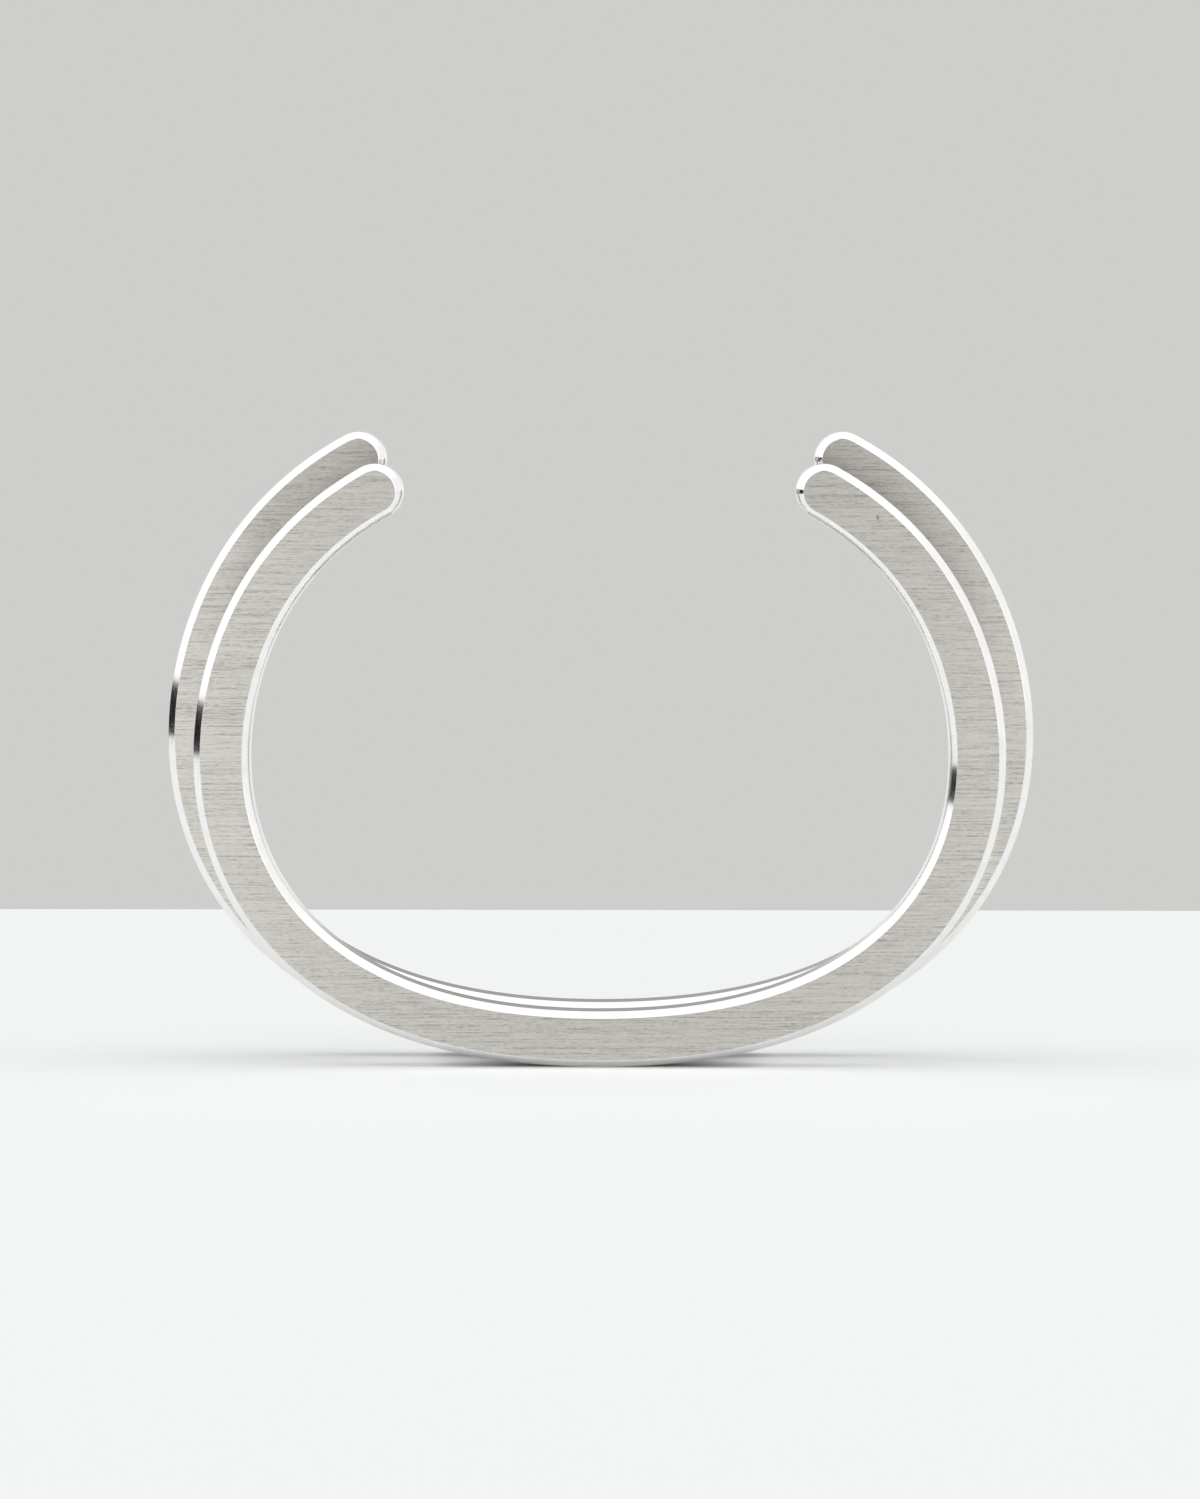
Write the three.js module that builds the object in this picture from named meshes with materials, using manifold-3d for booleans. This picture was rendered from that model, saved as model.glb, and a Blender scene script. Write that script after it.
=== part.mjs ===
// Open horseshoe-form cuff: two flat C-shaped rails side by side, joined over
// the bow by a curved bridge and two blind dowel pins.
// Millimetres. X across the cuff, Y along the wrist (front face towards -Y),
// Z up. The cuff stands on its bow at Z = 0 and the open mouth points up.

import * as THREE from 'three';
import { mergeVertices } from 'three/addons/utils/BufferGeometryUtils.js';
import Module from 'manifold-3d';

// ---- driving dimensions -------------------------------------------------

const RAIL_WIDTH = 4.5;          // rail section across the flat face, edge to edge
const RAIL_THICKNESS = 3.2;      // rail section along Y
const BEVEL = 0.56;              // 45 degree bevel on all four long edges
const RAIL_GAP = 2.8;            // clear space between the two rails

// Distance of each rail's mid-line from the wrist centre, one value for every
// 10 degrees from the middle of the bow (0) up past the tip (150).
const RADIUS_STEP = 10;
const FRONT_RADII = [
  23.75, 23.982, 24.65, 25.683, 26.97, 28.325, 29.489, 30.233,
  30.49, 30.38, 30.067, 29.605, 28.939, 28.045, 27.028, 26.085,
];
const REAR_RADII = [
  23.75, 23.994, 24.708, 25.854, 27.367, 29.089, 30.744, 32.022,
  32.757, 32.997, 32.901, 32.572, 32.002, 31.152, 30.055, 28.851,
];
const FRONT_TIP_ANGLE = 138.5;   // centre of the front rail's round tip
const REAR_TIP_ANGLE = 139.25;   // centre of the rear rail's round tip
const RAIL_STEPS = 118;          // mid-line steps from tip to tip
const TIP_STEPS = 12;            // facets round each half-round tip

const BRIDGE_WIDTH = 3.0;        // sits 0.75 inside both edges of the rails
const BRIDGE_ANGLE = 25.5;       // centre of each round end of the bridge
const BRIDGE_STEPS = 22;

const PIN_RADIUS = 0.6;
const PIN_CLEARANCE = 0.03;      // radial, in the rails and in the bridge
const PIN_ANGLE = 15;            // each pin's place along the bow
const PIN_DEPTH = 1.3;           // how far a pin enters each rail
const HOLE_DEPTH = 1.45;         // blind hole in each rail's hidden face
const PIN_CHAMFER = 0.12;
const ROUND_SEGMENTS = 32;

const STEEL = 0xbeb8b3;
const RAW_STEEL = 0x9b9a98;

// ---- outlines -----------------------------------------------------------

const rad = THREE.MathUtils.degToRad;

// Natural cubic spline through a table of radii, mirrored about the bow so
// that the left and right arms match.
function radiusSpline(table) {
  const ys = [...table.slice(1).reverse(), ...table];
  const n = ys.length;
  const h = rad(RADIUS_STEP);
  const m = new Array(n).fill(0);
  const c = new Array(n).fill(0);
  const d = new Array(n).fill(0);
  for (let i = 1; i < n - 1; i++) {
    const w = 4 - c[i - 1];
    c[i] = 1 / w;
    d[i] = (6 * (ys[i + 1] - 2 * ys[i] + ys[i - 1]) / (h * h) - d[i - 1]) / w;
  }
  for (let i = n - 2; i > 0; i--) m[i] = d[i] - c[i] * m[i + 1];
  const start = -(table.length - 1) * h;
  return (angle) => {
    const i = Math.min(n - 2, Math.max(0, Math.floor((angle - start) / h)));
    const b = (angle - start) / h - i;
    const a = 1 - b;
    return a * ys[i] + b * ys[i + 1]
      + ((a ** 3 - a) * m[i] + (b ** 3 - b) * m[i + 1]) * h * h / 6;
  };
}

const frontRadius = radiusSpline(FRONT_RADII);
const rearRadius = radiusSpline(REAR_RADII);
const bridgeRadius = (angle) => (frontRadius(angle) + rearRadius(angle)) / 2;

// The wrist centre stands above the ground by the bow's radius and half a rail.
const CENTRE_Z = FRONT_RADII[0] + RAIL_WIDTH / 2;

// A point on a mid-line with its outward normal, angle 0 straight down.
function station(radius, angle) {
  const e = 1e-4;
  const at = (t) => [radius(t) * Math.sin(t), CENTRE_Z - radius(t) * Math.cos(t)];
  const [x, z] = at(angle);
  const [x0, z0] = at(angle - e);
  const [x1, z1] = at(angle + e);
  const l = Math.hypot(x1 - x0, z1 - z0);
  return { x, z, nx: (z1 - z0) / l, nz: -(x1 - x0) / l };
}

// Closed outline of a constant-width band with half-round ends.
function bandOutline(radius, tipAngle, width, steps, tipSteps) {
  const half = width / 2;
  const pts = [];
  const angles = [];
  for (let i = 0; i <= steps; i++) angles.push(rad(-tipAngle + (2 * tipAngle * i) / steps));
  const right = station(radius, angles[steps]);
  const left = station(radius, angles[0]);
  for (const t of angles) {
    const s = station(radius, t);
    pts.push(new THREE.Vector2(s.x + s.nx * half, s.z + s.nz * half));
  }
  const cap = (s) => {
    const from = Math.atan2(s.nz, s.nx);
    for (let k = 1; k < tipSteps; k++) {
      const a = from + (Math.PI * k) / tipSteps;
      pts.push(new THREE.Vector2(s.x + half * Math.cos(a), s.z + half * Math.sin(a)));
    }
  };
  cap(right);
  for (const t of [...angles].reverse()) {
    const s = station(radius, t);
    pts.push(new THREE.Vector2(s.x - s.nx * half, s.z - s.nz * half));
  }
  cap({ x: left.x, z: left.z, nx: -left.nx, nz: -left.nz });
  return new THREE.Shape(pts);
}

// ---- solids -------------------------------------------------------------

const wasm = await Module();
wasm.setup();

function toSolid(geometry) {
  const g = geometry.clone();
  for (const name of Object.keys(g.attributes)) if (name !== 'position') g.deleteAttribute(name);
  const merged = mergeVertices(g, 1e-5);
  const mesh = new wasm.Mesh({
    numProp: 3,
    vertProperties: new Float32Array(merged.attributes.position.array),
    triVerts: new Uint32Array(merged.index.array),
  });
  return new wasm.Manifold(mesh);
}

function toGeometry(solid) {
  const m = solid.getMesh();
  const pos = new Float32Array(m.numVert * 3);
  for (let i = 0; i < m.numVert; i++) {
    for (let k = 0; k < 3; k++) pos[3 * i + k] = m.vertProperties[m.numProp * i + k];
  }
  const g = new THREE.BufferGeometry();
  g.setAttribute('position', new THREE.BufferAttribute(pos, 3));
  g.setIndex(new THREE.BufferAttribute(new Uint32Array(m.triVerts), 1));
  g.computeVertexNormals();
  return g;
}

// An outline drawn in X and Z, extruded along Y from yLow to yHigh.
function slab(shape, yLow, yHigh, bevel) {
  const g = new THREE.ExtrudeGeometry(shape, {
    depth: yHigh - yLow - 2 * bevel,
    steps: 1,
    curveSegments: 1,
    bevelEnabled: bevel > 0,
    bevelThickness: bevel,
    bevelSize: bevel,
    bevelOffset: -bevel,
    bevelSegments: 1,
  });
  const p = g.attributes.position;
  for (let i = 0; i < p.count; i++) {
    p.setXYZ(i, p.getX(i), yHigh - bevel - p.getZ(i), p.getY(i));
  }
  return g;
}

// A round bar along Y, centred on a bow mid-line at the given angle.
function barAt(radius, angle, r, yLow, yHigh) {
  const s = station(radius, rad(angle));
  const g = new THREE.CylinderGeometry(r, r, yHigh - yLow, ROUND_SEGMENTS);
  g.translate(s.x, (yLow + yHigh) / 2, s.z);
  return g;
}

// Y stations: the cuff is centred on Y = 0.
const INNER_Y = RAIL_GAP / 2;
const OUTER_Y = INNER_Y + RAIL_THICKNESS;
const HOLE_R = PIN_RADIUS + PIN_CLEARANCE;
const OVERSHOOT = 0.5;
const pinAngles = [-PIN_ANGLE, PIN_ANGLE];

function drill(solid, yLow, yHigh) {
  let out = solid;
  for (const a of pinAngles) out = out.subtract(toSolid(barAt(bridgeRadius, a, HOLE_R, yLow, yHigh)));
  return out;
}

const frontRail = drill(
  toSolid(slab(bandOutline(frontRadius, FRONT_TIP_ANGLE, RAIL_WIDTH, RAIL_STEPS, TIP_STEPS), -OUTER_Y, -INNER_Y, BEVEL)),
  -INNER_Y - HOLE_DEPTH, -INNER_Y + OVERSHOOT,
);
const rearRail = drill(
  toSolid(slab(bandOutline(rearRadius, REAR_TIP_ANGLE, RAIL_WIDTH, RAIL_STEPS, TIP_STEPS), INNER_Y, OUTER_Y, BEVEL)),
  INNER_Y - OVERSHOOT, INNER_Y + HOLE_DEPTH,
);
const bowBridge = drill(
  toSolid(slab(bandOutline(bridgeRadius, BRIDGE_ANGLE, BRIDGE_WIDTH, BRIDGE_STEPS, 10), -INNER_Y, INNER_Y, 0)),
  -INNER_Y - OVERSHOOT, INNER_Y + OVERSHOOT,
);

// A dowel pin: a turned bar with a small chamfer on both ends.
function dowel(angle) {
  const end = INNER_Y + PIN_DEPTH;
  const r = PIN_RADIUS;
  const c = PIN_CHAMFER;
  const profile = [
    [0, -end], [r - c, -end], [r, -end + c], [r, end - c], [r - c, end], [0, end],
  ].map(([x, y]) => new THREE.Vector2(x, y));
  const g = new THREE.LatheGeometry(profile, ROUND_SEGMENTS);
  const s = station(bridgeRadius, rad(angle));
  g.translate(s.x, 0, s.z);
  return g;
}

// ---- assembly -----------------------------------------------------------

const cuff = new THREE.Group();
cuff.name = 'horseshoe_cuff';

function addPart(name, geometry, color, roughness, metalness) {
  const mesh = new THREE.Mesh(geometry, new THREE.MeshStandardMaterial({ color, roughness, metalness }));
  mesh.name = name;
  cuff.add(mesh);
}

addPart('front_rail', toGeometry(frontRail), STEEL, 0.38, 1);
addPart('rear_rail', toGeometry(rearRail), STEEL, 0.38, 1);
addPart('bow_bridge', toGeometry(bowBridge), RAW_STEEL, 0.5, 1);
addPart('dowel_pin_left', dowel(-PIN_ANGLE), RAW_STEEL, 0.3, 1);
addPart('dowel_pin_right', dowel(PIN_ANGLE), RAW_STEEL, 0.3, 1);

export default cuff;
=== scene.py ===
import math

import bpy
import numpy as np
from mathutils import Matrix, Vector


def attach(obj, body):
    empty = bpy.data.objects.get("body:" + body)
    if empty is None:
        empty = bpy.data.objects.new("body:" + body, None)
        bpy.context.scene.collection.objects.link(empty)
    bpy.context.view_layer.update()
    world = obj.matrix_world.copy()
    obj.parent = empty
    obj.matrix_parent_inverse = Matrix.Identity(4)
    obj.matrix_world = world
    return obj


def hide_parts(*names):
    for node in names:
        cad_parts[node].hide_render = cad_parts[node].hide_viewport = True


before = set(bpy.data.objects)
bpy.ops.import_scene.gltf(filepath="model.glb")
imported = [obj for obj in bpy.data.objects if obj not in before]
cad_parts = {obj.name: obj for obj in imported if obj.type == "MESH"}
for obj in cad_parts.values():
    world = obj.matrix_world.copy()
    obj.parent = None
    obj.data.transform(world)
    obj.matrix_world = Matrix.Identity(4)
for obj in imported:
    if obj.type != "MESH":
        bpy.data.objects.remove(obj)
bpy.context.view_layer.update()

MM = 0.001

# ------------------------------------------------------------------ sizes
# The same driving dimensions as the CAD rails, in millimetres.

RAIL_WIDTH = 4.5
RAIL_THICKNESS = 3.2
BEVEL = 0.56
RAIL_GAP = 2.8
RADIUS_STEP = 10
FRONT_RADII = [
    23.75, 23.982, 24.65, 25.683, 26.97, 28.325, 29.489, 30.233,
    30.49, 30.38, 30.067, 29.605, 28.939, 28.045, 27.028, 26.085,
]
REAR_RADII = [
    23.75, 23.994, 24.708, 25.854, 27.367, 29.089, 30.744, 32.022,
    32.757, 32.997, 32.901, 32.572, 32.002, 31.152, 30.055, 28.851,
]
FRONT_TIP_ANGLE = 138.5
REAR_TIP_ANGLE = 139.25
BRIDGE_WIDTH = 3.0
BRIDGE_ANGLE = 25.5

EDGE_BREAK = 0.045      # tiny radius where two finished surfaces meet
BREAK_STEPS = 3
BEVEL_CROWN = math.radians(3.5)   # the polished bevels are very slightly rounded
BEVEL_STEPS = 5
RAIL_STATIONS = 640     # along the mid-line, tip to tip
TIP_STATIONS = 72       # round each half-round tip

PIT = (22.24, 44.33)       # a tiny pit in the front face, x and z

INNER_Y = RAIL_GAP / 2
OUTER_Y = INNER_Y + RAIL_THICKNESS
HALF = RAIL_WIDTH / 2
CENTRE_Z = FRONT_RADII[0] + HALF


# ------------------------------------------------------------------ outline

def radius_spline(table):
    """Natural cubic spline through radii at even angles, mirrored about the bow."""
    ys = np.array(table[:0:-1] + table)
    n = len(ys)
    h = math.radians(RADIUS_STEP)
    a = np.zeros((n, n))
    rhs = np.zeros(n)
    a[0, 0] = a[-1, -1] = 1
    for i in range(1, n - 1):
        a[i, i - 1:i + 2] = 1, 4, 1
        rhs[i] = 6 * (ys[i + 1] - 2 * ys[i] + ys[i - 1]) / (h * h)
    m = np.linalg.solve(a, rhs)
    start = -(len(table) - 1) * h

    def radius(t):
        t = np.asarray(t, float)
        i = np.clip(np.floor((t - start) / h).astype(int), 0, n - 2)
        b = (t - start) / h - i
        c = 1 - b
        return c * ys[i] + b * ys[i + 1] + ((c**3 - c) * m[i] + (b**3 - b) * m[i + 1]) * h * h / 6

    return radius


front_radius = radius_spline(FRONT_RADII)
rear_radius = radius_spline(REAR_RADII)


def bridge_radius(t):
    return (front_radius(t) + rear_radius(t)) / 2


def stations(radius, t):
    """Mid-line points and outward unit normals in the X-Z plane."""
    e = 1e-4

    def at(u):
        return radius(u) * np.sin(u), CENTRE_Z - radius(u) * np.cos(u)

    x, z = at(t)
    x0, z0 = at(t - e)
    x1, z1 = at(t + e)
    length = np.hypot(x1 - x0, z1 - z0)
    return x, z, (z1 - z0) / length, -(x1 - x0) / length


def even_angles(radius, tip, count):
    """Angles from tip to tip with equal arc length between them."""
    t = np.linspace(-math.radians(tip), math.radians(tip), 8001)
    x, z, _, _ = stations(radius, t)
    s = np.concatenate([[0], np.cumsum(np.hypot(np.diff(x), np.diff(z)))])
    return np.interp(np.linspace(0, s[-1], count + 1), s, t)


def band_loop(radius, tip, count, tip_count):
    """One closed loop round a band: for every loop point, its mid-line point and its outward direction."""
    t = even_angles(radius, tip, count)
    x, z, nx, nz = stations(radius, t)
    cx, cz, dx, dz = list(x), list(z), list(nx), list(nz)

    def cap(px, pz, ax, az):
        first = math.atan2(az, ax)
        for k in range(1, tip_count):
            a = first + math.pi * k / tip_count
            cx.append(px), cz.append(pz), dx.append(math.cos(a)), dz.append(math.sin(a))

    cap(x[-1], z[-1], nx[-1], nz[-1])
    cx += list(x[::-1])
    cz += list(z[::-1])
    dx += list(-nx[::-1])
    dz += list(-nz[::-1])
    cap(x[0], z[0], -nx[0], -nz[0])
    return np.array(cx), np.array(cz), np.array(dx), np.array(dz), count + 1


def polar(a):
    """Unit vector in the profile plane: 0 points outwards from the band's mid-line, -90 degrees to the low face."""
    return np.array([math.cos(a), math.sin(a)])


def band_profile(half, y_low, y_high, bevel, crown, brk, steps, arc_steps):
    """Half of the band's section, from the low face over the edge to the high face.
    Each bevel is slightly crowned (its normal turns by 2 * crown), and every corner is broken with a small radius.
    Returns points, normals and, for each gap between points, True where it is bevel and False where it is edge."""
    pts, nrm, kind = [], [], []

    def corner(p, a0, a1):
        """Rounded corner at p between surfaces with normal angles a0 and a1."""
        turn = a1 - a0
        centre = np.array(p) - (polar(a0) + polar(a1)) / (1 + math.cos(turn)) * brk
        for k in range(steps + 1):
            n = polar(a0 + turn * k / steps)
            pts.append(centre + n * brk)
            nrm.append(n)

    quarter = math.pi / 2
    if bevel <= 0:
        corner((half, y_low), -quarter, 0)
        flat = len(pts)
        corner((half, y_high), 0, quarter)
        return np.array(pts), np.array(nrm), [i < flat - 1 or i >= flat for i in range(len(pts) - 1)]
    mid = -quarter / 2
    chord = bevel * math.sqrt(2)
    radius = chord / 2 / math.sin(crown)
    corner((half - bevel, y_low), -quarter, mid - crown)
    centre = np.array([half - bevel / 2, y_low + bevel / 2]) - polar(mid) * radius * math.cos(crown)
    for k in range(1, arc_steps):
        n = polar(mid - crown + 2 * crown * k / arc_steps)
        pts.append(centre + n * radius)
        nrm.append(n)
    corner((half, y_low + bevel), mid + crown, 0)
    count = len(pts)
    for p, n in list(zip(pts, nrm))[::-1]:
        pts.append(np.array([p[0], y_low + y_high - p[1]]))
        nrm.append(np.array([n[0], -n[1]]))
    return np.array(pts), np.array(nrm), [i != count - 1 for i in range(2 * count - 1)]


def band_mesh(name, radius, tip, count, tip_count, half, y_low, y_high, bevel, brk, brk_steps, low_slot, high_slot, bevel_slot, edge_slot):
    """A constant-width band with half-round ends, bevelled edges and flat faces, as one closed mesh with exact normals."""
    cx, cz, dx, dz, side = band_loop(radius, tip, count, tip_count)
    n = len(cx)
    prof, pn, is_bevel = band_profile(half, y_low, y_high, bevel, BEVEL_CROWN, brk, brk_steps, BEVEL_STEPS)
    m = len(prof)
    co = np.zeros((n * m, 3))
    no = np.zeros((n * m, 3))
    for j in range(m):
        across, y = prof[j]
        co[j * n:(j + 1) * n] = np.c_[cx + dx * across, np.full(n, y), cz + dz * across]
        no[j * n:(j + 1) * n] = np.c_[dx * pn[j][0], np.full(n, pn[j][1]), dz * pn[j][0]]
    faces, slots = [], []
    for j in range(m - 1):
        slot = bevel_slot if is_bevel[j] else edge_slot
        for i in range(n):
            k = (i + 1) % n
            faces.append((j * n + i, j * n + k, (j + 1) * n + k, (j + 1) * n + i))
            slots.append(slot)
    # flat faces: a mid-line row joined to the outer and inner side of the loop
    mids = []
    for y, ny, ring in ((y_low, -1, 0), (y_high, 1, m - 1)):
        base = len(co)
        co = np.vstack([co, np.c_[cx[:side], np.full(side, y), cz[:side]]])
        no = np.vstack([no, np.tile([0, ny, 0], (side, 1))])
        r0 = ring * n
        inner0 = side + tip_count - 1          # first loop point of the inner side, at the right tip

        def add(f):
            faces.append(f if ny < 0 else f[::-1])
            slots.append(low_slot if ny < 0 else high_slot)

        for i in range(side - 1):
            out_a, out_b = r0 + i, r0 + i + 1
            in_a, in_b = r0 + inner0 + side - 1 - i, r0 + inner0 + side - 2 - i
            add((base + i, base + i + 1, out_b, out_a))
            add((in_a, in_b, base + i + 1, base + i))
        for first, mid in ((side - 1, base + side - 1), (inner0 + side - 1, base)):
            for k in range(tip_count):
                a, b = r0 + (first + k) % n, r0 + (first + k + 1) % n
                add((mid, b, a))
        mids.append(base)
    me = bpy.data.meshes.new(name)
    me.from_pydata((co * MM).tolist(), [], faces)
    me.polygons.foreach_set("material_index", slots)
    me.polygons.foreach_set("use_smooth", [True] * len(faces))
    me.update()
    # make every face point outwards before the exact normals go on
    tri = np.array([p.normal[:] for p in me.polygons])
    want = np.array([no[list(f)].mean(0) for f in faces])
    wrong = np.where((tri * want).sum(1) < 0)[0]
    if len(wrong):
        for i in wrong.tolist():
            faces[i] = faces[i][::-1]
        me.clear_geometry()
        me.from_pydata((co * MM).tolist(), [], faces)
        me.polygons.foreach_set("material_index", slots)
        me.polygons.foreach_set("use_smooth", [True] * len(faces))
        me.update()
    me.normals_split_custom_set_from_vertices((no / np.linalg.norm(no, axis=1)[:, None]).tolist())
    # a flat map whose U runs up the faces: the brushing lies along X, so its gloss spreads along Z
    uv = me.uv_layers.new(name="brush")
    idx = np.zeros(len(me.loops), int)
    me.loops.foreach_get("vertex_index", idx)
    flat = np.c_[co[idx, 2] / 60, co[idx, 0] / 60 + 0.7].ravel()
    uv.data.foreach_set("uv", flat)
    # a second map for the edges: U runs across the edge and V along the rail, both 1 per 250 mm
    run = me.uv_layers.new(name="run")
    px, pz = cx + dx * half, cz + dz * half
    steps = np.hypot(np.diff(px, append=px[0]), np.diff(pz, append=pz[0]))
    along = np.concatenate([[0], np.cumsum(steps)])
    across = np.concatenate([[0], np.cumsum(np.hypot(*np.diff(prof, axis=0).T))])
    face_of = np.repeat(np.arange(len(faces)), [len(f) for f in faces])
    on_band = idx < m * n
    ring = np.where(on_band, idx % n, 0)
    closing = (face_of < (m - 1) * n) & (face_of % n == n - 1) & (ring == 0)
    v = np.where(closing, along[n], along[ring])
    u = np.where(on_band, across[np.minimum(idx // n, m - 1)], 0)
    run.data.foreach_set("uv", np.c_[u / 250, v / 250].ravel())
    me.uv_layers.active = uv
    ob = bpy.data.objects.new(name, me)
    bpy.context.scene.collection.objects.link(ob)
    return ob


# ------------------------------------------------------------------ materials

class Nodes:
    """Short helpers for building a node tree."""

    def __init__(self, tree):
        self.tree = tree
        tree.nodes.clear()

    def new(self, kind, **sets):
        node = self.tree.nodes.new(kind)
        for key, value in sets.items():
            setattr(node, key, value)
        return node

    def link(self, a, b):
        self.tree.links.new(a, b)

    def math(self, op, a, b=None, c=None, clamp=False):
        node = self.new("ShaderNodeMath", operation=op, use_clamp=clamp)
        for i, v in enumerate((a, b, c)):
            if v is None:
                continue
            if isinstance(v, (int, float)):
                node.inputs[i].default_value = v
            else:
                self.link(v, node.inputs[i])
        return node.outputs[0]

    def scaled(self, vector, scale, offset=(0, 0, 0)):
        node = self.new("ShaderNodeMapping")
        node.inputs["Scale"].default_value = scale
        node.inputs["Location"].default_value = offset
        self.link(vector, node.inputs["Vector"])
        return node.outputs["Vector"]

    def noise(self, vector, detail=2.0, rough=0.5, scale=1.0):
        node = self.new("ShaderNodeTexNoise", noise_dimensions="3D")
        node.inputs["Scale"].default_value = scale
        node.inputs["Detail"].default_value = detail
        node.inputs["Roughness"].default_value = rough
        self.link(vector, node.inputs["Vector"])
        return node.outputs[0]

    def remap(self, value, a, b, lo, hi, smooth=False):
        node = self.new("ShaderNodeMapRange", clamp=True)
        if smooth:
            node.interpolation_type = "SMOOTHSTEP"
        node.inputs["From Min"].default_value = a
        node.inputs["From Max"].default_value = b
        node.inputs["To Min"].default_value = lo
        node.inputs["To Max"].default_value = hi
        self.link(value, node.inputs["Value"])
        return node.outputs["Result"]

    def ramp(self, fac, stops):
        node = self.new("ShaderNodeValToRGB")
        cr = node.color_ramp
        while len(cr.elements) < len(stops):
            cr.elements.new(0.5)
        for el, (pos, col) in zip(cr.elements, stops):
            el.position = pos
            el.color = (*col, 1)
        self.link(fac, node.inputs["Fac"])
        return node.outputs["Color"]


def metal(name, base, roughness, anisotropic=0.0, tangent=True):
    mat = bpy.data.materials.new(name)
    mat.use_nodes = True
    k = Nodes(mat.node_tree)
    out = k.new("ShaderNodeOutputMaterial")
    bsdf = k.new("ShaderNodeBsdfPrincipled")
    bsdf.inputs["Base Color"].default_value = (*base, 1)
    bsdf.inputs["Metallic"].default_value = 1.0
    bsdf.inputs["Roughness"].default_value = roughness
    bsdf.inputs["Anisotropic"].default_value = anisotropic
    k.link(bsdf.outputs["BSDF"], out.inputs["Surface"])
    if anisotropic and tangent:
        tan = k.new("ShaderNodeTangent", direction_type="UV_MAP", uv_map="brush")
        k.link(tan.outputs["Tangent"], bsdf.inputs["Tangent"])
    return mat, k, bsdf


def shade(col, f):
    return tuple(min(1.0, c * f) for c in col)


def brushed_face():
    """Straight-grained brushed steel: fine broken lines along X, with warm and cool traces."""
    base = (0.90, 0.88, 0.85)
    mat, k, bsdf = metal("brushed_steel_face", base, 0.39, 1.0)
    co = k.new("ShaderNodeTexCoord").outputs["Object"]
    hair = k.noise(k.scaled(co, (420, 1, 10500)), 2.0, 0.7)
    grain = k.noise(k.scaled(co, (2200, 1, 9500), (3.1, 0, 7.7)), 1.0, 0.5)
    line = k.noise(k.scaled(co, (60, 1, 6400), (9.4, 0, 1.3)), 2.0, 0.6)
    wide = k.noise(k.scaled(co, (60, 1, 1100), (5.2, 0, 2.9)), 2.0, 0.5)
    mix = k.math("ADD", k.math("MULTIPLY", hair, 0.38), k.math("MULTIPLY", grain, 0.22))
    mix = k.math("ADD", mix, k.math("MULTIPLY", line, 0.34))
    mix = k.math("ADD", mix, k.math("MULTIPLY", wide, 0.06))
    grey = k.ramp(mix, [(0.38, shade((1, 1, 1), 0.54)), (0.50, shade((1, 1, 1), 0.92)), (0.59, (1, 1, 1))])
    tint = k.ramp(k.noise(k.scaled(co, (80, 1, 3000), (1.9, 0, 6.3)), 2.0, 0.6),
                  [(0.35, (1.0, 0.953, 0.885)), (0.5, (1.0, 0.96, 0.90)), (0.65, (0.995, 0.965, 0.92))])
    # one tiny pit in the front rail's face, near the right tip
    apart = k.new("ShaderNodeVectorMath", operation="DISTANCE")
    k.link(k.scaled(co, (1, 0.02, 0.5)), apart.inputs[0])
    apart.inputs[1].default_value = (PIT[0] * MM, 0.0, PIT[1] * MM * 0.5)
    ragged = k.math("ADD", apart.outputs["Value"], k.math("MULTIPLY", grain, 0.00012))
    pit = k.remap(ragged, 0.00014, 0.00024, 0.36, 1.0)
    grey = k.math("MULTIPLY", grey, pit)
    both = k.new("ShaderNodeVectorMath", operation="MULTIPLY")
    k.link(grey, both.inputs[0])
    k.link(tint, both.inputs[1])
    k.link(both.outputs[0], bsdf.inputs["Base Color"])
    k.link(k.remap(mix, 0.38, 0.62, 0.41, 0.37), bsdf.inputs["Roughness"])
    bump = k.new("ShaderNodeBump")
    bump.inputs["Strength"].default_value = 0.2
    bump.inputs["Distance"].default_value = 0.00001
    k.link(mix, bump.inputs["Height"])
    k.link(bump.outputs["Normal"], bsdf.inputs["Normal"])
    return mat


def inner_face():
    """The front rail's back, inside the gap: ground, not brushed, rough, and given a dark base colour as painted shade,
    so the rear face beside the front rail reflects it darker.
    """
    # painted shade: the dark base colour stands in for the shade between the two rails
    base = (0.17, 0.167, 0.162)
    mat, k, bsdf = metal("painted_shade_gap_face", base, 0.5)
    co = k.new("ShaderNodeTexCoord").outputs["Object"]
    lines = k.noise(k.scaled(co, (3200, 1, 300)), 2.0, 0.6)
    cloud = k.noise(k.scaled(co, (320, 320, 320), (2.0, 5.0, 1.0)), 2.0, 0.5)
    tone = k.math("ADD", k.math("MULTIPLY", lines, 0.6), k.math("MULTIPLY", cloud, 0.4))
    k.link(k.ramp(tone, [(0.3, shade(base, 0.8)), (0.7, shade(base, 1.2))]), bsdf.inputs["Base Color"])
    k.link(k.remap(lines, 0.3, 0.7, 0.42, 0.58), bsdf.inputs["Roughness"])
    bump = k.new("ShaderNodeBump")
    bump.inputs["Strength"].default_value = 0.3
    bump.inputs["Distance"].default_value = 0.00001
    k.link(lines, bump.inputs["Height"])
    k.link(bump.outputs["Normal"], bsdf.inputs["Normal"])
    return mat


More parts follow.
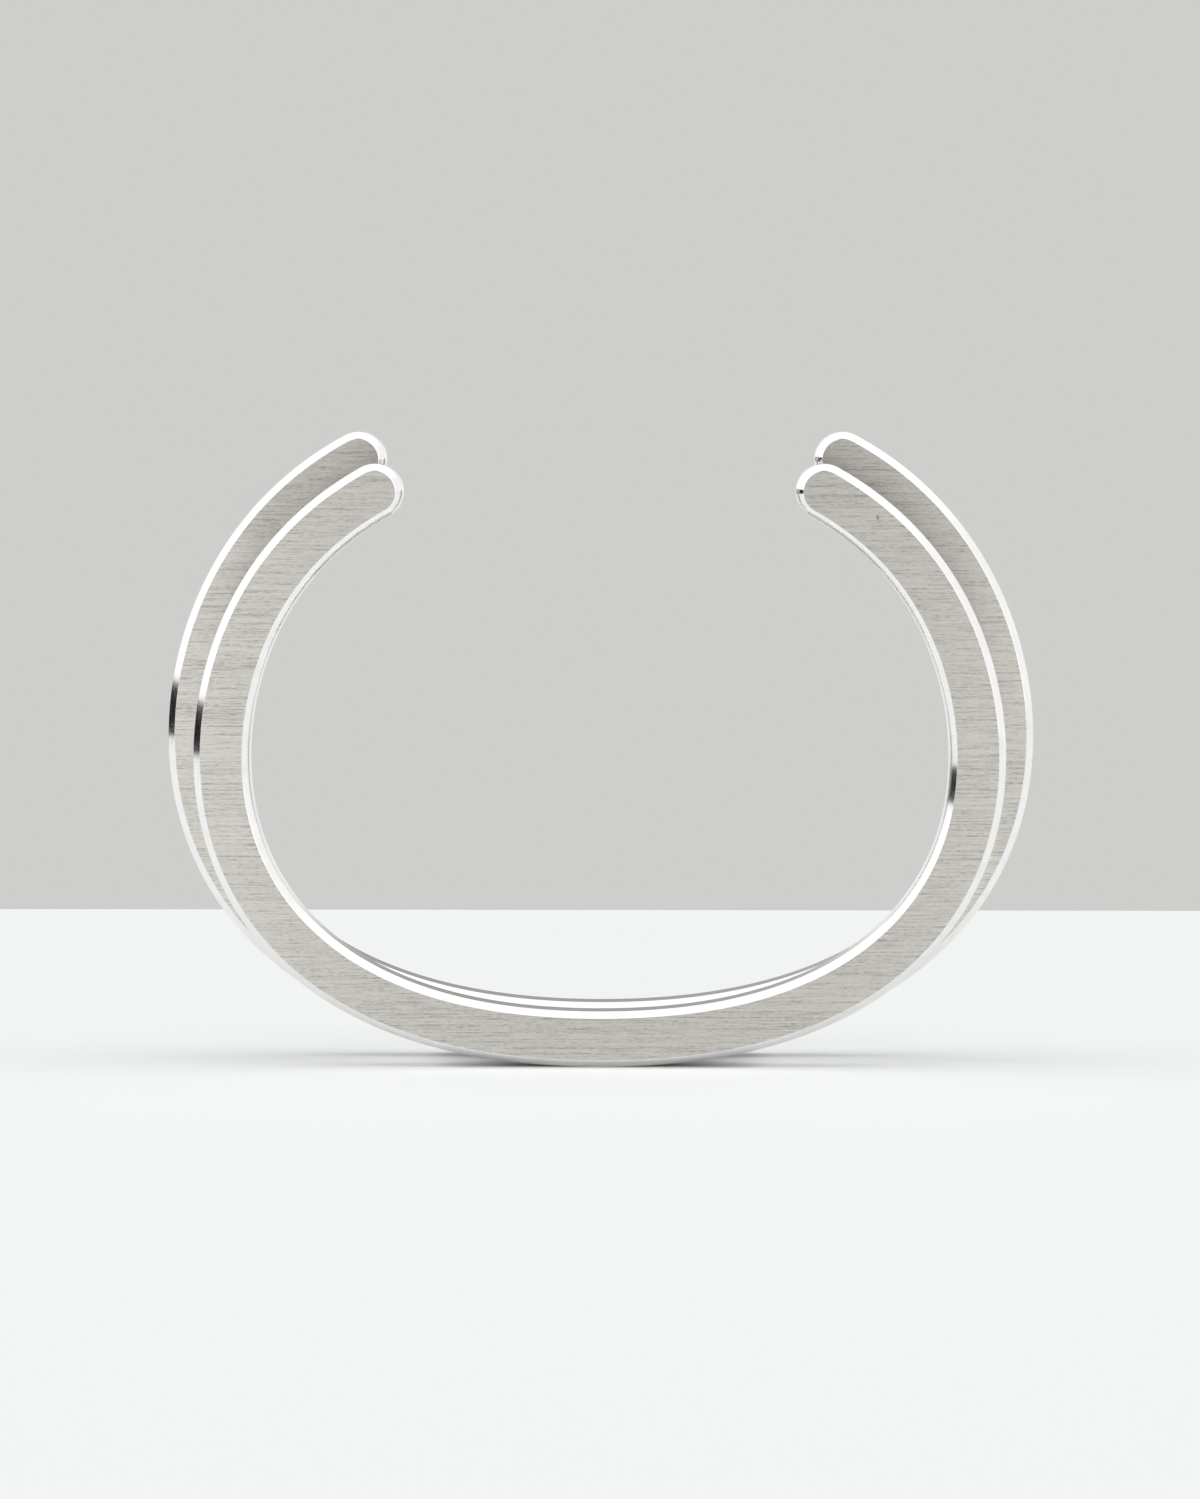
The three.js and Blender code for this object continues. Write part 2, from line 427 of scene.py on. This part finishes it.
def polished_bevel():
    """Bright polished bevel with a faint fine grain."""
    base = (0.97, 0.965, 0.955)
    mat, k, bsdf = metal("polished_steel_bevel", base, 0.09)
    co = k.new("ShaderNodeTexCoord").outputs["Object"]
    grain = k.noise(k.scaled(co, (9000, 9000, 9000)), 2.0, 0.6)
    soft = k.noise(k.scaled(co, (700, 700, 700)), 2.0, 0.5)
    k.link(k.ramp(soft, [(0.3, shade(base, 0.95)), (0.7, shade(base, 1.0))]), bsdf.inputs["Base Color"])
    k.link(k.remap(grain, 0.35, 0.65, 0.06, 0.14), bsdf.inputs["Roughness"])
    bump = k.new("ShaderNodeBump")
    bump.inputs["Strength"].default_value = 0.05
    bump.inputs["Distance"].default_value = 0.000006
    k.link(grain, bump.inputs["Height"])
    k.link(bump.outputs["Normal"], bsdf.inputs["Normal"])
    return mat


def satin_edge():
    """The narrow edge between two bevels: satin, with fine specks."""
    base = (0.56, 0.555, 0.55)
    mat, k, bsdf = metal("satin_steel_edge", base, 0.14)
    co = k.new("ShaderNodeTexCoord").outputs["Object"]
    run = k.new("ShaderNodeUVMap", uv_map="run").outputs["UV"]
    thin = k.noise(k.scaled(run, (2300, 90, 1)), 2.0, 0.6)
    broad = k.noise(k.scaled(run, (900, 22, 1), (3.3, 8.1, 0)), 2.0, 0.6)
    grain = k.math("ADD", k.math("MULTIPLY", thin, 0.6), k.math("MULTIPLY", broad, 0.4))
    speck = k.noise(k.scaled(co, (11000, 11000, 11000), (1.7, 4.1, 0.6)), 1.0, 0.5)
    spot = k.remap(speck, 0.66, 0.74, 0.0, 1.0)
    tone = k.math("ADD", grain, k.math("MULTIPLY", spot, 0.35))
    k.link(k.ramp(tone, [(0.3, shade(base, 0.92)), (0.7, shade(base, 1.05)), (1.0, shade(base, 1.40))]), bsdf.inputs["Base Color"])
    k.link(k.remap(grain, 0.3, 0.7, 0.10, 0.17), bsdf.inputs["Roughness"])
    return mat


def milled_steel():
    """The hidden bridge: fine milling lines along the wrist."""
    base = (0.50, 0.495, 0.49)
    mat, k, bsdf = metal("milled_steel_bridge", base, 0.42)
    co = k.new("ShaderNodeTexCoord").outputs["Object"]
    lines = k.noise(k.scaled(co, (2600, 200, 2600)), 3.0, 0.6)
    cloud = k.noise(k.scaled(co, (400, 400, 400), (2.0, 5.0, 1.0)), 2.0, 0.5)
    tone = k.math("ADD", k.math("MULTIPLY", lines, 0.6), k.math("MULTIPLY", cloud, 0.4))
    k.link(k.ramp(tone, [(0.3, shade(base, 0.8)), (0.7, shade(base, 1.15))]), bsdf.inputs["Base Color"])
    k.link(k.remap(lines, 0.3, 0.7, 0.34, 0.5), bsdf.inputs["Roughness"])
    bump = k.new("ShaderNodeBump")
    bump.inputs["Strength"].default_value = 0.35
    bump.inputs["Distance"].default_value = 0.00002
    k.link(lines, bump.inputs["Height"])
    k.link(bump.outputs["Normal"], bsdf.inputs["Normal"])
    return mat


def ground_pin():
    """Dowel pins: ground round, with fine rings."""
    base = (0.58, 0.575, 0.57)
    mat, k, bsdf = metal("ground_steel_pin", base, 0.3)
    co = k.new("ShaderNodeTexCoord").outputs["Object"]
    rings = k.noise(k.scaled(co, (400, 9000, 400)), 2.0, 0.5)
    k.link(k.ramp(rings, [(0.3, shade(base, 0.88)), (0.7, shade(base, 1.1))]), bsdf.inputs["Base Color"])
    k.link(k.remap(rings, 0.3, 0.7, 0.24, 0.36), bsdf.inputs["Roughness"])
    return mat


FACE = brushed_face()
# the gap face's dark colour is painted shade between the rails
GAP_SHADE_FACE = inner_face()
POLISH = polished_bevel()
EDGE = satin_edge()
BRIDGE = milled_steel()
PIN = ground_pin()

# ------------------------------------------------------------------ pieces

front = band_mesh("front_rail_fine", front_radius, FRONT_TIP_ANGLE, RAIL_STATIONS, TIP_STATIONS, HALF,
                  -OUTER_Y, -INNER_Y, BEVEL, EDGE_BREAK, BREAK_STEPS, 0, 3, 1, 2)
rear = band_mesh("rear_rail_fine", rear_radius, REAR_TIP_ANGLE, RAIL_STATIONS, TIP_STATIONS, HALF,
                 INNER_Y, OUTER_Y, BEVEL, EDGE_BREAK, BREAK_STEPS, 0, 0, 1, 2)
for rail, node in ((front, "front_rail"), (rear, "rear_rail")):
    for mat in (FACE, POLISH, EDGE, GAP_SHADE_FACE) if rail is front else (FACE, POLISH, EDGE):
        rail.data.materials.append(mat)
    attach(rail, "root")
    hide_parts(node)

bridge = band_mesh("bow_bridge_fine", bridge_radius, BRIDGE_ANGLE, 160, 40, BRIDGE_WIDTH / 2,
                   -INNER_Y, INNER_Y, 0, 0.03, 2, 0, 0, 0, 0)
bridge.data.materials.append(BRIDGE)
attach(bridge, "root")
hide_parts("bow_bridge")

for node in ("dowel_pin_left", "dowel_pin_right"):
    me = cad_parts[node].data
    me.materials.clear()
    me.materials.append(PIN)

# ------------------------------------------------------------------ floor

FLOOR_BACK = 0.1142
floor_me = bpy.data.meshes.new("studio_table")
x, y0, y1 = 1.6, -1.6, FLOOR_BACK
x0 = -0.42                # the table's left edge: the dark gap past it shows in the outer bevels
floor_me.from_pydata([(x0, y0, 0), (x, y0, 0), (x, y1, 0), (x0, y1, 0), (x0, y0, -0.03), (x, y0, -0.03), (x, y1, -0.03), (x0, y1, -0.03)], [],
                     [(0, 1, 2, 3), (7, 6, 5, 4), (3, 2, 6, 7), (0, 3, 7, 4), (2, 1, 5, 6), (1, 0, 4, 5)])
floor = bpy.data.objects.new("studio_table", floor_me)
bpy.context.scene.collection.objects.link(floor)
fmat = bpy.data.materials.new("matt_white_table")
fmat.use_nodes = True
fb = fmat.node_tree.nodes["Principled BSDF"]
fb.inputs["Base Color"].default_value = (0.615, 0.627, 0.622, 1)
fb.inputs["Roughness"].default_value = 0.8
fb.inputs["Specular IOR Level"].default_value = 0.2
# the table glows with a painted fill light, and ambient occlusion cuts the glow into a painted contact shadow right
# where the cuff touches it
table_tree = fmat.node_tree
painted_contact_shade = table_tree.nodes.new("ShaderNodeAmbientOcclusion")
painted_contact_shade.samples = 8
painted_contact_shade.inputs["Distance"].default_value = 0.0016
painted_fill_glow = table_tree.nodes.new("ShaderNodeMath")
painted_fill_glow.operation = "MULTIPLY"
painted_fill_glow.inputs[1].default_value = 0.33
table_tree.links.new(painted_contact_shade.outputs["AO"], painted_fill_glow.inputs[0])
table_tree.links.new(painted_fill_glow.outputs[0], fb.inputs["Emission Strength"])
fb.inputs["Emission Color"].default_value = (0.982, 1.0, 0.993, 1)
floor_me.materials.append(fmat)

# ------------------------------------------------------------------ light

world = bpy.data.worlds.new("soft_studio")
bpy.context.scene.world = world
world.use_nodes = True
w = Nodes(world.node_tree)
out = w.new("ShaderNodeOutputWorld")
sep = w.new("ShaderNodeSeparateXYZ")
w.link(w.new("ShaderNodeTexCoord").outputs["Generated"], sep.inputs["Vector"])
X, Y, Z = sep.outputs
FRONT_LEFT, FRONT_MIDDLE, FRONT_RIGHT = 1.66, 0.0, 1.84     # the room behind the camera
BACK_LOW, BACK_HIGH = 1.10, 0.40         # the wall behind the cuff, near its foot and above
LEFT_LEVEL, RIGHT_LEVEL, TOP_LEVEL = 1.12, 0.96, 1.12


def over(base, mask, value):
    """base with value laid over it where mask is 1."""
    return w.math("ADD", w.math("MULTIPLY", base, w.math("SUBTRACT", 1.0, mask)), w.math("MULTIPLY", mask, value))


room = over(w.remap(X, -0.21, -0.035, FRONT_LEFT, FRONT_MIDDLE, True), w.remap(X, 0.035, 0.21, 0, 1, True), FRONT_RIGHT)
level = over(room, w.remap(Y, -0.1, 0.1, 0, 1, True),
             w.remap(Z, 0.06, 0.11, BACK_LOW, BACK_HIGH, True))
# an arch of soft boxes from the left over the top to the right, in the cuff's own plane
arch = over(w.remap(X, -0.15, 0.15, LEFT_LEVEL, RIGHT_LEVEL, True), w.remap(Z, 0.45, 0.8, 0, 1, True), TOP_LEVEL)
level = over(level, w.math("MULTIPLY", w.remap(Y, -0.34, -0.26, 0, 1, True), w.remap(Y, 0.45, 0.30, 0, 1, True)), arch)
# beyond the table's far edges
level = over(level, w.remap(Z, -0.01, -0.03, 0, 1, True), 1.0)
# the dark gap between the left soft box and the table
gap = w.math("MULTIPLY", w.remap(Z, -0.10, -0.09, 0, 1, True), w.remap(Z, 0.10, 0.075, 0, 1, True))
gap = w.math("MULTIPLY", gap, w.remap(X, -0.62, -0.72, 0, 1, True))
level = over(level, gap, 0.012)
# the matt table is lit by a narrower band over the cuff, so each rail throws its own shadow
light_path = w.new("ShaderNodeLightPath")
band = w.math("SUBTRACT", w.math("ABSOLUTE", Y), w.math("MULTIPLY", Z, 0.42))
level = over(level, light_path.outputs["Is Diffuse Ray"], w.remap(band, 0.05, -0.05, 0.10, 1.10, True))
studio = w.new("ShaderNodeBackground")
w.link(level, studio.inputs["Strength"])
studio.inputs["Color"].default_value = (1, 1, 1, 1)
plain = w.new("ShaderNodeBackground")
plain.inputs["Color"].default_value = (0.617, 0.617, 0.604, 1)
plain.inputs["Strength"].default_value = 1.0
mix = w.new("ShaderNodeMixShader")
w.link(light_path.outputs["Is Camera Ray"], mix.inputs["Fac"])
w.link(studio.outputs["Background"], mix.inputs[1])
w.link(plain.outputs["Background"], mix.inputs[2])
w.link(mix.outputs["Shader"], out.inputs["Surface"])



def soft_box(name, place, target, across, deep, power, spread=180):
    """A soft box for the table. The steel's own reflections come from the studio around it."""
    light = bpy.data.lights.new(name, "AREA")
    light.shape = "RECTANGLE"
    light.size, light.size_y = across, deep
    light.energy = power
    light.spread = math.radians(spread)
    ob = bpy.data.objects.new(name, light)
    bpy.context.scene.collection.objects.link(ob)
    ob.location = place
    ob.rotation_euler = (Vector(target) - Vector(place)).to_track_quat("-Z", "Y").to_euler()
    ob.visible_glossy = False
    ob.visible_camera = False
    return ob


soft_box("top_box", (0, 0, 0.9), (0, 0, 0), 1.8, 0.7, 4.35)
soft_box("front_box", (0, -1.15, 0.45), (0, -0.1, 0), 2.0, 0.6, 3.0)

bpy.context.scene.view_settings.view_transform = "Standard"

# ------------------------------------------------------------------ camera

cam_data = bpy.data.cameras.new("camera")
cam = bpy.data.objects.new("camera", cam_data)
bpy.context.scene.collection.objects.link(cam)
bpy.context.scene.camera = cam
cam_data.sensor_fit = "AUTO"
cam_data.sensor_width = 36
cam_data.lens = 5000 / 1499 * 36
cam_data.clip_start, cam_data.clip_end = 0.01, 20
cam_data.dof.use_dof = False
YAW = math.radians(0.78)
PITCH = math.radians(4.304)
DIST = 404.6
cam.location = (MM * DIST * math.sin(YAW), -MM * DIST * math.cos(YAW), MM * 55.83)
cam.rotation_euler = (math.pi / 2 - PITCH, 0, YAW)
